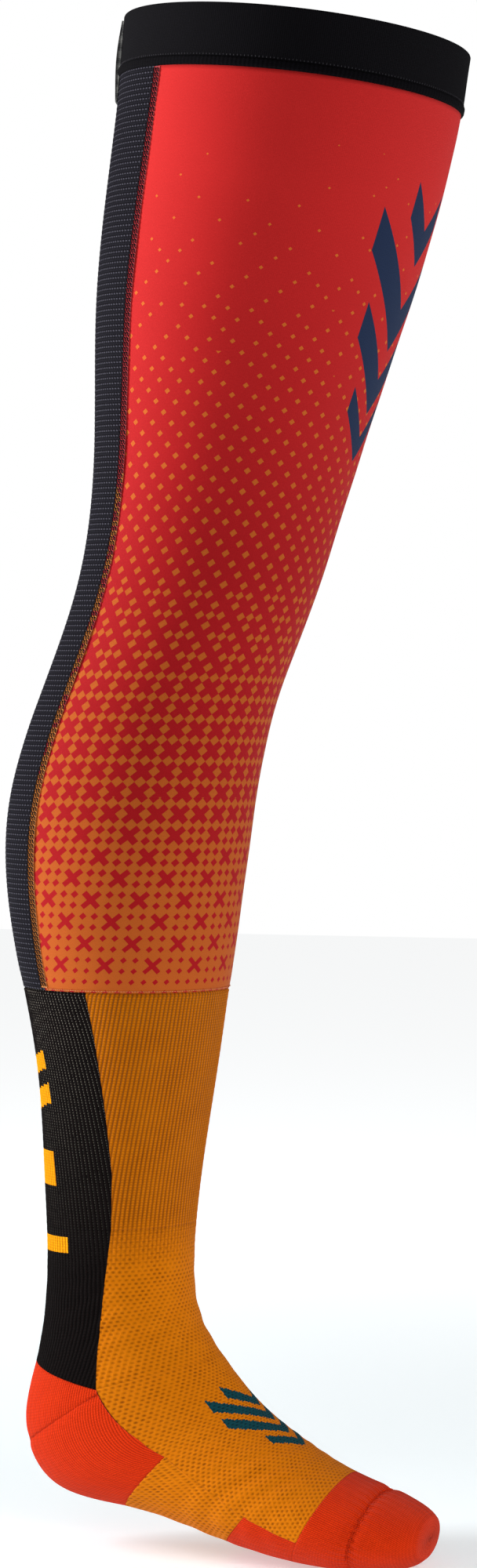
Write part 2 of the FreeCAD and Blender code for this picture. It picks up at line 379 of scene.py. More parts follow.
def mesh_object(name, verts, faces, material):
    """A smooth mesh in the scene."""
    mesh = bpy.data.meshes.new(name)
    mesh.from_pydata(verts, [], faces)
    mesh.polygons.foreach_set("use_smooth", [True] * len(mesh.polygons))
    mesh.materials.append(material)
    mesh.update()
    piece = bpy.data.objects.new("worn_" + name, mesh)
    bpy.context.scene.collection.objects.link(piece)
    return piece


def window(rows, centre, down_mm, across_mm):
    """Level and angle arrays for a panel: rows of (edge level, half angle, middle level), in mm."""
    rows = np.array(rows, float)
    steps = np.abs(np.diff(rows[:, 0])) + np.abs(np.diff(rows[:, 2]))
    place = np.concatenate([[0], np.cumsum(steps)])
    count = max(3, int(place[-1] / 2 / down_mm))
    v = np.linspace(0, place[-1], count)
    edge, half, middle = [np.interp(v, place, rows[:, k]) for k in range(3)]
    widest = np.max(half * girth_scale(edge * MM)) * 2 / MM
    side = np.linspace(-1, 1, max(5, int(widest / across_mm)))
    level = middle[:, None] + (edge - middle)[:, None] * side[None] ** 2
    return level * MM, centre + half[:, None] * side[None]


def over_knee(piece, slot, *nodes):
    """Cloth that lies across the knee: its place is baked into its mesh and the CAD nodes are hidden."""
    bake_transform(piece)
    if nodes:
        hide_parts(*nodes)


def over_ankle(piece, slot, *nodes):
    """Cloth that lies across the ankle: its place is baked into its mesh and the CAD nodes are hidden."""
    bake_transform(piece)
    if nodes:
        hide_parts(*nodes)


def on_body(piece, body, slot, *nodes):
    """Cloth that moves with one body as it is."""
    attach(piece, body)
    if nodes:
        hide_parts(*nodes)


# %% [markdown]
# ## Printed compression jersey
# The front panel is smooth polyester-elastane jersey with the print dyed into it. A red ground
# fades down the leg into orange. The fade is a halftone: orange diamonds on a lattice that grow
# row by row, first few, then all, until they touch and only small red crosses are left. It is a
# formula of the cloth's own coordinates, because an image would blur and repeat.

# %% Plain bars and chevrons, knitted in or printed


def stitch_cells(t, across, down, wale, course):
    """Coordinates rounded to whole stitches, because knitted colour changes stitch by stitch."""
    stepped = []
    for value, size in ((across, wale), (down, course)):
        whole = math_node(t, "ROUND", math_node(t, "DIVIDE", value, size))
        stepped.append(times(t, whole, size))
    return stepped


def bar(t, across, down, middle, thick, half, slope=0.0):
    """1 inside a bar across the cloth, or a chevron where it has a slope; sizes in mm."""
    out = math_node(t, "ABSOLUTE", across)
    lean = times(t, out, slope)
    off = math_node(t, "ABSOLUTE", minus(t, plus(t, down, lean), middle))
    inside = math_node(t, "LESS_THAN", off, thick / 2)
    return times(t, inside, math_node(t, "LESS_THAN", out, half))


class Motif:
    """A set of bars in one contrasting colour: (middle, thickness, half width, slope) in mm."""

    # dark is the motif yarn in painted shade, for the grooves of a knit; light is its yarn or print
    # colour.
    def __init__(self, bars, dark, light):
        self.bars, self.dark, self.light = bars, dark, light

    def __call__(self, t, across, down):
        total = 0.0
        for middle, thick, half, slope in self.bars:
            total = plus(t, total, bar(t, across, down, middle, thick, half, slope))
        return math_node(t, "MINIMUM", total, 1.0)


THIGH_CHEVRONS = Motif([(112, 20, 22, 1.1), (158, 24, 46, 1.1), (196, 20, 36, 1.1),
                        (226, 14, 24, 1.1)], "#16233C", "#1F2D4A")
print("thigh chevrons", len(THIGH_CHEVRONS.bars))

# %% The halftone jersey
RED, RED_DEEP = linear("#D02A28"), linear("#A6151B")
PRINT_ORANGE, PRINT_ORANGE_DEEP = linear("#DC702C"), linear("#B8581F")
NAVY = linear(THIGH_CHEVRONS.light)

# Down the cloth in mm: how big the diamonds are, how many of the first lattice's points have one,
# how many of the second's, and how much darker the red and orange get towards the hem
DIAMOND_SIZE = [(60, 0.07), (95, 0.13), (265, 0.36), (355, 0.475), (410, 0.5), (437, 0.54),
                (515, 0.70), (536, 0.73)]
FIRST_DENSITY = [(62, 0.0), (85, 0.22), (120, 0.40), (170, 0.66), (215, 1.05)]
SECOND_FILL = [(300, 0.0), (325, 1.0), (385, 3.4), (425, 4.4), (470, 6.0), (527, 6.2), (529, 8.1)]
DARKENING_DOWN_LEG = [(90, 0.0), (300, 0.75), (540, 0.95)]


def fold_distance(t, s, u):
    """How far a point is from the nearest lattice point, as a diamond: 0 at it, 1 half way."""
    ds = math_node(t, "ABSOLUTE", minus(t, s, math_node(t, "ROUND", s)))
    du = math_node(t, "ABSOLUTE", minus(t, u, math_node(t, "ROUND", u)))
    return times(t, math_node(t, "MAXIMUM", ds, du), 2.0)


def steps_of(t, value, stops):
    """A line through (place, height) stops, as a chain of clamped ramps."""
    total = stops[0][1]
    for (a, ya), (b, yb) in zip(stops, stops[1:]):
        ramp = add(t, "ShaderNodeMapRange", {0: value, 1: a, 2: b, 3: 0.0, 4: yb - ya}, clamp=True)
        total = plus(t, total, ramp.outputs[0])
    return total


def first_diamonds(t, s, u, down, radius):
    """The diamonds of the first lattice, which fade in one by one."""
    spot = math_node(t, "LESS_THAN", fold_distance(t, s, u), radius)
    density = steps_of(t, down, FIRST_DENSITY)
    cell = add(t, "ShaderNodeCombineXYZ",
               {0: math_node(t, "ROUND", s), 1: math_node(t, "ROUND", u)}).outputs[0]
    chance = add(t, "ShaderNodeTexWhiteNoise", {0: cell}, noise_dimensions="3D").outputs[0]
    order = plus(t, times(t, chance, 0.55), times(t, lattice_order(t, s, u), 0.6))
    return times(t, spot, math_node(t, "LESS_THAN", order, density))


def second_diamonds(t, s, u, down, radius):
    """The diamonds half way between the first, which fill in by slanting rows."""
    half_s, half_u = minus(t, s, 0.5), minus(t, u, 0.5)
    whole_s, whole_u = math_node(t, "ROUND", half_s), math_node(t, "ROUND", half_u)
    second = fold_distance(t, half_s, half_u)
    fill = steps_of(t, down, SECOND_FILL)
    x = plus(t, whole_s, plus(t, whole_u, 1.0))
    y = minus(t, whole_s, whole_u)
    odd = math_node(t, "FLOORED_MODULO", x, 2.0)
    diagonal = minus(t, minus(t, x, y), 1.0)
    slant = math_node(t, "FLOORED_MODULO", diagonal, 4.0)
    tall = math_node(t, "FLOORED_MODULO", y, 4.0)
    low_part = minus(t, 1.0, times(t, tall, 0.25))
    part = plus(t, minus(t, 2.0, slant), low_part)
    threshold = plus(t, times(t, odd, 4.0), part)
    return times(t, math_node(t, "LESS_THAN", second, radius),
                 math_node(t, "LESS_THAN", threshold, fill))


def jersey():
    """Smooth jersey with the halftone and the chevrons dyed in."""
    material, t, shader = new_material("sublimation-printed compression jersey", 0.7, 0.04)
    uv = add(t, "ShaderNodeUVMap", uv_map="print_cells")
    split = add(t, "ShaderNodeSeparateXYZ", {0: uv.outputs[0]})
    x, y = split.outputs[0], split.outputs[1]
    across, down, flat = cloth_place(t)
    s = times(t, plus(t, x, y), 0.5)
    u = times(t, minus(t, x, y), 0.5)
    radius = steps_of(t, down, DIAMOND_SIZE)
    orange = math_node(t, "MAXIMUM", first_diamonds(t, s, u, down, radius),
                       second_diamonds(t, s, u, down, radius))
    # The red and orange turn darker towards the hem, with some random unevenness.
    darker_down_leg = steps_of(t, down, DARKENING_DOWN_LEG)
    darkening = math_node(t, "MULTIPLY_ADD", noise(t, flat, 0.9, 3.0), 0.3, darker_down_leg)
    darkening = math_node(t, "MINIMUM", darkening, 1.0)
    ground = blend_colours(t, darkening, RED, RED_DEEP)
    dots = blend_colours(t, darkening, PRINT_ORANGE, PRINT_ORANGE_DEEP)
    print_colour = blend_colours(t, orange, ground, dots)
    mark = THIGH_CHEVRONS(t, across, down)
    coloured = blend_colours(t, mark, print_colour, NAVY)
    fibres = noise(t, add(t, "ShaderNodeMapping", {0: flat, 3: (2.4, 0.8, 1.0)}).outputs[0], 1.6, 3.0)
    grain = add(t, "ShaderNodeMapRange", {0: fibres, 1: 0.3, 2: 0.7, 3: 0.90, 4: 1.08}).outputs[0]
    final = add(t, "ShaderNodeMix", {0: 1.0, 6: coloured, 7: grain}, data_type="RGBA",
                blend_type="MULTIPLY")
    t.links.new(final.outputs[2], shader.inputs["Base Color"])
    courses = plus(t, wave(t, across, 1.1), wave(t, down, 0.9))
    relief = plus(t, times(t, courses, 0.25), fibres)
    set_bump(t, shader, relief, 0.10, 0.5)
    return material


def lattice_order(t, s, u):
    """An even order for the first lattice's points, so that a sparse fade keeps its distance."""
    a = math_node(t, "FLOORED_MODULO", math_node(t, "ROUND", s), 2.0)
    b = math_node(t, "FLOORED_MODULO", math_node(t, "ROUND", u), 2.0)
    return plus(t, times(t, a, 0.5), times(t, b, 0.25))


JERSEY = jersey()
print("jersey nodes", len(JERSEY.node_tree.nodes))

# %% [markdown]
# ## The front panel
# One cut of cloth from the band to the hem. Worn cloth is never quite even, so a few long shallow
# waves lift it by a fraction of a millimetre. The print's cells are narrower where the cloth is
# less stretched, at the knee, so the cell size follows the level.

# %% Cut and print the front panel
JERSEY_THICK = 1.0 * MM
PANEL_TOP = 33.0
CELL_LEVELS = np.array([0, 100, 280, 480, 540]) * MM
CELL_WIDTH = np.array([7.2, 6.9, 5.5, 6.5, 6.5])
CELL_HEIGHT = np.array([5.7, 5.7, 5.7, 6.1, 6.2])


def sleeve_window(centre, half_angle, down_mm, across_mm):
    """Level and angle arrays for a panel that runs from the band to the hem."""
    return window([(PANEL_TOP, half_angle, PANEL_TOP), (HEM_MM, half_angle, HEM_MM)], centre,
                  down_mm, across_mm)


def drape(level, angle, size_mm):
    """Long shallow unevenness of worn cloth."""
    turn = np.radians(angle)
    rise = np.sin(turn * 3 + level * 21) * np.sin(level * 34 + 1.3 * np.cos(turn))
    rise += 0.6 * np.sin(turn * 5 - level * 47 + 2) * np.sin(level * 71 + turn)
    return rise * size_mm * MM


level, angle = sleeve_window(0, SEAM_ANGLE, 2.6, 2.6)
fade = np.clip((level - PANEL_TOP * MM) / 0.02, 0, 1) * np.clip((HEM - level) / 0.02, 0, 1)
front_panel = cloth("front_panel", level, angle, drape(level, angle, 0.28) * fade, JERSEY_THICK, JERSEY)
cells_x = angle * girth_scale(level) / MM / np.interp(level, CELL_LEVELS, CELL_WIDTH)
fine = np.arange(0, 545) * MM
counted = np.concatenate([[0], np.cumsum(1 / np.interp(fine[1:], CELL_LEVELS, CELL_HEIGHT))])
cells_y = np.interp(level, fine, counted)


def add_uv(piece, name, first, second):
    """A second flat map on a panel, from two arrays of its grid."""
    flat = np.stack([first, second], -1).reshape(-1, 2)
    picks = np.zeros(len(piece.data.loops), np.int32)
    piece.data.loops.foreach_get("vertex_index", picks)
    layer = piece.data.uv_layers.new(name=name)
    layer.data.foreach_set("uv", flat[picks % len(flat)].astype(np.float32).ravel())


add_uv(front_panel, "print_cells", cells_x, cells_y)
over_knee(front_panel, "compression_jersey", "front_panel_thigh", "front_panel_knee",
          "front_panel_calf")
print("front panel", len(front_panel.data.polygons), "faces")

# %% [markdown]
# ## Rear mesh panel
# The rear is a charcoal warp knit. Raised ribs run across it about every 2.8 mm, with two rows of
# small holes between. The ribs are real geometry, with pale dashes of painted highlight on their
# crests. The holes are dips in the material, painted near-black as painted shade.

# %% The warp-knit mesh
RIB_PITCH = 2.8
DASH_PITCH = 3.0
HOLE_PITCH = 2.2


def mesh_knit():
    """Charcoal ribs with dashes of painted highlight on their crests, and rows of small holes painted
    near-black as painted shade.
    """
    material, t, shader = new_material("charcoal warp-knit mesh", 0.85, 0.0)
    across, down, flat = cloth_place(t)
    rib = wave(t, down, RIB_PITCH)
    rib_line = math_node(t, "POWER", rib, 6.0)
    which = math_node(t, "ROUND", math_node(t, "DIVIDE", down, RIB_PITCH))
    shifted = math_node(t, "MULTIPLY_ADD", which, DASH_PITCH / 2, across)
    dash = wave(t, math_node(t, "MULTIPLY_ADD", noise(t, flat, 0.4), 0.8, shifted), DASH_PITCH)
    dash = math_node(t, "POWER", dash, 3.0)
    row = wave(t, plus(t, down, RIB_PITCH / 4), RIB_PITCH / 2)
    hole = times(t, wave(t, across, HOLE_PITCH), row)
    hole = times(t, math_node(t, "GREATER_THAN", hole, 0.45), math_node(t, "LESS_THAN", rib, 0.8))
    speck = noise(t, flat, 1.3, 3.0)
    ground = blend_colours(t, speck, linear("#0E0D12"), linear("#1E1C24"))
    # Painted highlight: pale dashes along the rib crests.
    dashes = times(t, rib_line, times(t, dash, 0.8))
    lit = blend_colours(t, dashes, ground, linear("#615F6A"))
    # Painted shade: the holes are near-black.
    colour = blend_colours(t, hole, lit, linear("#050407"))
    t.links.new(colour, shader.inputs["Base Color"])
    raised = plus(t, rib, times(t, dash, 0.2))
    height = minus(t, raised, hole)
    set_bump(t, shader, height, 0.35, 0.8)
    return material


MESH = mesh_knit()
level, angle = sleeve_window(180, 180 - SEAM_ANGLE, 0.75, 3.0)
ribs = np.cos(level / MM * 2 * math.pi / RIB_PITCH) * 0.08 * MM
rear_panel = cloth("rear_mesh_panel", level, angle, ribs, JERSEY_THICK, MESH)
over_knee(rear_panel, "spacer_mesh", "rear_mesh_thigh", "rear_mesh_knee", "rear_mesh_calf")
print("rear panel", len(rear_panel.data.polygons), "faces")

# %% [markdown]
# ## Elastic band, binding, grip rings and tab
# The band is a wide woven elastic: fine upright ribs in matt black. Its top edge is folded over
# and its lower edge is wrapped by a narrow rolled binding. All are closed rings round the leg.

# %% Black woven elastic


def woven_elastic(name, dark, light, rib_mm, bump_mm):
    """A woven tape with upright ribs, painted lighter on their crests and darker in their grooves,
    painted highlight and shade, with random specks.
    """
    material, t, shader = new_material(name, 0.9, 0.0)
    across, down, flat = cloth_place(t)
    rib = wave(t, across, rib_mm)
    pick = wave(t, plus(t, down, times(t, rib, 0.4)), 0.9)
    speck = noise(t, flat, 1.1, 4.0)
    # The colour follows the weave's relief: painted highlight on the rib crests, painted shade in the
    # grooves.
    weave = math_node(t, "MULTIPLY_ADD", rib, 0.5, times(t, pick, 0.3))
    mixed = times(t, weave, speck)
    t.links.new(blend_colours(t, mixed, linear(dark), linear(light)), shader.inputs["Base Color"])
    relief = plus(t, rib, times(t, pick, 0.5))
    set_bump(t, shader, relief, bump_mm, 0.9)
    return material


# Of each pair, the dark colour is painted shade in the grooves and the light one painted highlight on the
# crests.
ELASTIC = woven_elastic("black woven elastic", "#09080A", "#1D1B20", 1.1, 0.10)
BINDING = woven_elastic("black rolled binding", "#040305", "#141217", 2.4, 0.10)


def band_piece(name, stations, thickness_mm, material, cols=360):
    """A closed band round the leg; stations are (level, lift) in mm."""
    stations = np.array(stations, float)
    level_ = np.repeat(stations[:, :1], cols, 1) * MM
    angle_ = np.repeat(np.linspace(-180, 180, cols, endpoint=False)[None], len(stations), 0)
    lift_ = np.repeat(stations[:, 1:] * MM, cols, 1)
    return cloth(name, level_, angle_, lift_, thickness_mm * MM, material, closed=True)


def rounded(start, end, lift, radius, count, sag=0.0):
    """Stations across a band whose two edges are rolled over with a radius, in mm."""
    places = np.linspace(0, 1, count)
    places = (1 - np.cos(places * math.pi)) / 2
    out = []
    for p in places:
        edge = min(p, 1 - p) * (end - start)
        drop = radius - math.sqrt(max(0.0, radius ** 2 - max(0.0, radius - edge) ** 2))
        out.append((start + p * (end - start), lift - drop - sag * math.sin(p * math.pi)))
    return out


band = band_piece("elastic_band", rounded(0.0, 28.6, 0.4, 1.2, 26, 0.25), 1.2, ELASTIC)
on_body(band, "thigh", "band_elastic", "elastic_band")
lining = band_piece("band_lining", rounded(1.0, 31.0, -1.9, 0.5, 16), 0.8, ELASTIC)
on_body(lining, "thigh", "lining_elastic", "band_lining")
binding = band_piece("band_binding", rounded(28.2, 33.2, 1.4, 1.6, 16), 1.0, BINDING)
on_body(binding, "thigh", "band_elastic", "band_binding")
print("band rings made")

# %% Silicone grip rings inside
GRIP_START = 8.0
GRIP_PITCH = 9.0
GRIP_HEIGHT = 4


def silicone():
    """Slightly glossy rubber, printed in rings."""
    material, t, shader = new_material("printed silicone gripper", 0.35, 0.0)
    shader.inputs["Base Color"].default_value = linear("#1B1B1F")
    shader.inputs["Coat Weight"].default_value = 0.3
    _, _, flat = cloth_place(t)
    set_bump(t, shader, noise(t, flat, 0.6), 0.2, 0.4)
    return material


SILICONE = silicone()
for i in range(3):
    start = GRIP_START + i * GRIP_PITCH
    profile = rounded(start, start + GRIP_HEIGHT, -3.1, 0.4, 8)
    grip = band_piece(f"silicone_grip_ring_{i + 1}", profile, 0.4, SILICONE, 200)
    on_body(grip, "thigh", "silicone", *(["silicone_grip_rings"] if i == 0 else []))
print("grip rings made")

# %% [markdown]
# ## Thread
# Seams are sewn thread. Each stitch is a short bent tube laid on the cloth, so that it catches the
# light as real thread does. One function builds a row of stitches as one mesh.

# %% Stitches as geometry
THREAD_SIDES = 6


def stitches(name, paths, radius, material):
    """One mesh of many threads; paths is a list of point lists."""
    verts, faces = [], []
    turns = np.linspace(0, 2 * math.pi, THREAD_SIDES, endpoint=False)
    for path in paths:
        path = np.asarray(path)
        run = np.gradient(path, axis=0)
        run /= np.linalg.norm(run, axis=1)[:, None]
        side = np.cross(run, (0.31, 0.27, 0.91))
        side /= np.linalg.norm(side, axis=1)[:, None]
        up = np.cross(run, side)
        taper = np.ones(len(path)) * radius
        taper[0] = taper[-1] = radius * 0.45
        start = len(verts)
        for p, a, b, r in zip(path, side, up, taper):
            verts.extend(p + r * (math.cos(w) * a + math.sin(w) * b) for w in turns)
        for i in range(len(path) - 1):
            for j in range(THREAD_SIDES):
                k = (j + 1) % THREAD_SIDES
                a, b = start + i * THREAD_SIDES, start + (i + 1) * THREAD_SIDES
                faces.append([a + j, a + k, b + k, b + j])
        first, last = start, start + (len(path) - 1) * THREAD_SIDES
        faces.append([first + j for j in range(THREAD_SIDES)][::-1])
        faces.append([last + j for j in range(THREAD_SIDES)])
    return mesh_object(name, verts, faces, material)


def thread(name, colour, light):
    """Matt sewing thread."""
    material, t, shader = new_material(name, 0.7, 0.0)
    place = add(t, "ShaderNodeTexCoord").outputs["Object"]
    grain = noise(t, place, 900.0, 2.0)
    t.links.new(blend_colours(t, grain, linear(colour), linear(light)), shader.inputs["Base Color"])
    set_bump(t, shader, grain, 0.08, 0.5)
    return material


BLACK_THREAD = thread("black textured polyester thread", "#0A080A", "#1C181E")
GREY_THREAD = thread("grey polyester thread", "#2E2C32", "#5E5B60")
STITCH = 2.6
SEAM_RAILS = (-2.1, -0.1, 1.9)
SEAM_BARS = (-1.1, 0.9)


def seam_threads(side):
    """A flatlock seam: three rails of loops, and short bars across the join between them."""
    paths = []
    middle = side * SEAM_ANGLE
    for i in range(int((HEM / MM - 36) / STITCH)):
        level_ = 34.5 + i * STITCH
        degree = 1 / girth_scale(level_ * MM) * MM
        for column in SEAM_RAILS:
            points = []
            for q in (0, 0.25, 0.5, 0.75, 1):
                lift = 0.75 + 0.35 * math.sin(q * math.pi)
                turn = middle + (column + (0.9 * q - 0.45)) * degree
                points.append(skin((level_ + q * STITCH * 0.92) * MM, turn, lift * MM))
            paths.append(points)
        for column in SEAM_BARS:
            points = []
            for q in (0, 0.33, 0.67, 1):
                lift = 0.62 + 0.3 * math.sin(q * math.pi)
                turn = middle + (column + (q - 0.5) * 1.7) * degree
                points.append(skin((level_ + 0.35 * q) * MM, turn, lift * MM))
            paths.append(points)
    return paths


def seam_cloth():
    """The strip of cloth that peeks between the threads, in the front panel's colours."""
    material, t, shader = new_material("seam allowance under the flatlock threads", 0.8, 0.2)
    across, down, flat = cloth_place(t)
    fade_ = add(t, "ShaderNodeMapRange", {0: down, 1: 200.0, 2: 430.0, 3: 0.0, 4: 1.0}).outputs[0]
    column = math_node(t, "FLOOR", math_node(t, "DIVIDE", across, 2.0))
    row = math_node(t, "FLOOR", math_node(t, "DIVIDE", down, STITCH))
    cell = add(t, "ShaderNodeCombineXYZ", {0: column, 1: row}).outputs[0]
    chance = add(t, "ShaderNodeTexWhiteNoise", {0: cell}).outputs[0]
    pick = math_node(t, "LESS_THAN", chance, fade_)
    colour = blend_colours(t, pick, linear("#B8343A"), linear("#CC7C38"))
    t.links.new(colour, shader.inputs["Base Color"])
    return material


SEAM_CLOTH = seam_cloth()
for name, side in (("outer_flatlock_seam", -1), ("inner_flatlock_seam", 1)):
    down_levels = np.arange(33.6, 538.0, 1.3)
    half = 2.4 * MM / girth_scale(down_levels * MM)
    level = np.repeat(down_levels[:, None], 5, 1) * MM
    angle = side * SEAM_ANGLE + half[:, None] * np.linspace(-1, 1, 5)[None]
    lift = np.full(level.shape, 0.55 * MM)
    strip = cloth(name + "_base", level, angle, lift, 0.4 * MM, SEAM_CLOTH)
    over_knee(strip, "seam_thread", name)
    threads = stitches(name, seam_threads(side), 0.33 * MM, BLACK_THREAD)
    over_knee(threads, "seam_thread")
print("seams made")

# %% Topstitch on the band and stitching at the hem


def ring_stitches(name, level_mm, lift_mm, pitch_mm, radius_mm, material, upright, half_turn=180):
    """A row of stitches round the leg, each upright or lying along the row."""
    count = int(2 * half_turn * girth_scale(level_mm * MM) / MM / pitch_mm)
    span = 2 * half_turn / count
    paths = []
    for i in range(count):
        start = -half_turn + 2 * half_turn * i / count
        points = []
        for q in (0, 0.5, 1) if upright else (0, 0.33, 0.67, 1):
            lift = (lift_mm + 0.2 * math.sin(q * math.pi)) * MM
            rise = (q - 0.5) if upright else 0
            turn = start if upright else start + span * 0.75 * q
            points.append(skin((level_mm + rise) * MM, turn, lift))
        paths.append(points)
    return stitches(name, paths, radius_mm * MM, material)


topstitch = ring_stitches("band_topstitch", 27.4, 0.25, 2.0, 0.16, GREY_THREAD, True)
on_body(topstitch, "thigh", "seam_thread", "band_topstitch")
HEM_THREAD = thread("pale orange hem thread", "#B8582E", "#E8A878")
hem = ring_stitches("hem_stitching", 537.4, 0.15, 1.5, 0.22, HEM_THREAD, False, 118)
on_body(hem, "shin", "seam_thread", "hem_stitching")
print("band and hem stitched")

# %% [markdown]
# ## The knitted sock
# The sock is one tube knitted in zones of colour: black behind, orange in front, red at heel, ball
# and toe. Each zone is a panel here. Wales, the upright columns of stitches, stand proud of the
# cloth by a third of a millimetre, and are modelled as real ridges. The grooves between them are
# also painted darker, as painted shade.

# %% Knit height fields
WALE = 2.4
COURSE = 1.5
DIMPLE_WIDTH = 3.4
DIMPLE_PITCH = 2.4
MESH_START, MESH_END = 666, 702


def wales(level, across_mm, depth_mm, wale=WALE, course=COURSE):
    """The relief of a rib knit: columns of small loops."""
    column = np.abs(np.cos(across_mm * math.pi / wale)) ** 0.7
    loop = 0.5 + 0.5 * np.cos(level / MM * 2 * math.pi / course)
    return (column * (0.82 + 0.18 * loop) - 0.5) * depth_mm * MM


def honeycomb(level, across_mm, depth_mm):
    """The relief of an open mesh knit: staggered rows of dimples."""
    y = level / MM
    shifted = across_mm + np.round(y / DIMPLE_PITCH) * DIMPLE_WIDTH / 2
    dimple = (0.5 + 0.5 * np.cos(shifted * 2 * math.pi / DIMPLE_WIDTH))
    dimple = dimple * (0.5 + 0.5 * np.cos(y * 2 * math.pi / DIMPLE_PITCH))
    return (0.3 - dimple) * depth_mm * MM


# %% The two knitted motifs
# Each motif's first colour is its yarn in painted shade, used in the grooves.
CALF_BARS = Motif([(589, 10, 41, 0.25), (608, 11, 41, 0.25), (640, 20, 38, 0.0), (683, 9, 44, 0.0)],
                  "#B86C04", "#F5A20A")
INSTEP_CHEVRONS = Motif([(812, 11, 22, 0.9), (830, 11, 36, 0.9), (848, 11, 34, 0.9), (866, 10, 20, 0.9)],
                        "#06222A", "#0E3E46")
print("calf bars", len(CALF_BARS.bars), "instep chevrons", len(INSTEP_CHEVRONS.bars))

# %% Sock yarn materials


def knit(name, dark, mid, light, wale, course, ladder=None, open_mesh=False, groove=0.75,
         sheen=0.04, motif=None):
    """Rib knit, with painted shade darkening its grooves; if asked, open mesh from above the ankle down,
    and pale ladders in the grooves.
    """
    material, t, shader = new_material(name, 0.9, sheen)
    across, down, flat = cloth_place(t)
    turn_ = times(t, across, math.pi / wale)
    column = math_node(t, "ABSOLUTE", math_node(t, "COSINE", turn_))
    loop = wave(t, plus(t, down, times(t, column, 0.5)), course)
    stitch = times(t, column, math_node(t, "MULTIPLY_ADD", loop, 0.45, 0.55))
    height = stitch
    if open_mesh:
        row = math_node(t, "ROUND", math_node(t, "DIVIDE", down, DIMPLE_PITCH))
        shifted = math_node(t, "MULTIPLY_ADD", row, DIMPLE_WIDTH / 2, across)
        dimple = times(t, wave(t, shifted, DIMPLE_WIDTH), wave(t, down, DIMPLE_PITCH))
        uneven = math_node(t, "MULTIPLY_ADD", noise(t, flat, 0.12, 3.0), 1.6, -0.1)
        mesh_height = minus(t, 1.0, times(t, dimple, uneven))
        to_mesh = add(t, "ShaderNodeMapRange", {0: down, 1: MESH_START, 2: MESH_END}).outputs[0]
        height = add(t, "ShaderNodeMix", {0: to_mesh, 2: stitch, 3: mesh_height}).outputs[0]
    fuzz = noise(t, flat, 1.2, 4.0)
    tone = times(t, height, math_node(t, "MULTIPLY_ADD", fuzz, 0.5, 0.6))
    # Painted shade: low parts of the knit, its grooves and mesh dimples, take the dark colour, and the
    # raised stitches take the mid colour.
    raised = add(t, "ShaderNodeMapRange", {0: tone, 1: 0.05, 2: groove}).outputs[0]
    body = blend_colours(t, raised, linear(dark), linear(mid))
    patchy = noise(t, flat, 0.05, 2.0)
    body = blend_colours(t, times(t, patchy, 0.6), body, linear(light))
    shade = times(t, minus(t, 1.0, tone), 0.45)
    body = blend_colours(t, shade, body, linear(dark))
    if ladder:
        colour, start, end = ladder
        rung = math_node(t, "GREATER_THAN", wave(t, down, COURSE), 0.45)
        groove_ = math_node(t, "LESS_THAN", column, 0.3)
        near = add(t, "ShaderNodeMapRange", {0: down, 1: start, 2: end, 3: 1.0, 4: 0.0}).outputs[0]
        patches = times(t, near, math_node(t, "GREATER_THAN", fuzz, 0.42))
        rungs = times(t, times(t, rung, groove_), patches)
        body = blend_colours(t, times(t, rungs, 0.65), body, linear(colour))
    if motif:
        mask = motif(t, *stitch_cells(t, across, down, wale / 2, course))
        # The motif yarn is painted with shade in the grooves too.
        yarn = blend_colours(t, raised, linear(motif.dark), linear(motif.light))
        body = blend_colours(t, mask, body, yarn)
    t.links.new(body, shader.inputs["Base Color"])
    relief = plus(t, height, times(t, fuzz, 0.35))
    set_bump(t, shader, relief, 0.45, 0.75)
    return material


# Each knit's first colour is painted shade for the grooves, the second is the yarn, the third is for
# random lighter patches.
ORANGE = ("#743602", "#CE7004", "#D47806")
ORANGE_KNIT = knit("orange cushioned sock knit", *ORANGE, WALE, COURSE, ("#6A5038", 545, 700), True)
INSTEP_KNIT = knit("orange instep knit with chevrons", *ORANGE, WALE, COURSE, open_mesh=True,
                   motif=INSTEP_CHEVRONS)
BLACK_KNIT = knit("black rib sock knit", "#030202", "#120C0B", "#140E0E", WALE, COURSE,
                  ("#8E867A", 530, 700), sheen=0.0, motif=CALF_BARS)
RED_KNIT = knit("red terry-cushioned knit", "#9C1A04", "#DC3408", "#E43C0C", 1.4, 1.4, groove=0.5)
print("sock yarns made")

# %% Levels where the sock's zones meet, in millimetres down the leg
LEG_TOP = 535.5
LEG_END = 674.4
ANKLE_TOP = 704.9
ANKLE_LINE = 744.9
HEEL_CORNER = 764.1
GORE_EDGE = 766.6
GORE = 782.1
HEEL_MIDDLE = 800.1
HEEL_TOE_EDGE = 819.1
HEEL_SOLE_EDGE = 836.1
BALL_CORNER = 875.4
BALL_START = 879.4
TOE_BAND_START = 911.6
TOE_SEAM = 938.0
TOE_END = 968.5
KNIT_THICK = 1.4 * MM
HEM_TUCK = 1.4 * MM
GORE_GROOVE = 0.8 * MM
print("sock from", LEG_TOP, "to", TOE_END, "mm")

# %% How a zone is made


def creases(level_, angle_):
    """Soft folds of the worn sock, across the front of the ankle and along the side of the foot."""
    mm, turn_ = level_ / MM, np.radians(angle_)
    front = 0.5 + 0.5 * np.cos(turn_)
    bend = np.exp(-((mm - 738) / 36) ** 2) * np.sin((mm + 16 * np.cos(2 * turn_)) * 2 * math.pi / 19)
    bend2 = np.exp(-((mm - 716) / 30) ** 2) * np.sin((mm - 11 * np.sin(2 * turn_)) * 2 * math.pi / 13 + 1)
    foot = np.exp(-((mm - 868) / 30) ** 2) * np.sin((mm + 20 * np.sin(turn_) ** 2) * 2 * math.pi / 15)
    side = np.sin(turn_) ** 2
    ankle_folds = 0.28 * bend * (0.25 + 0.75 * front) + 0.3 * bend2 * side
    return (ankle_folds + 0.5 * foot * (0.3 + 0.7 * side)) * MM


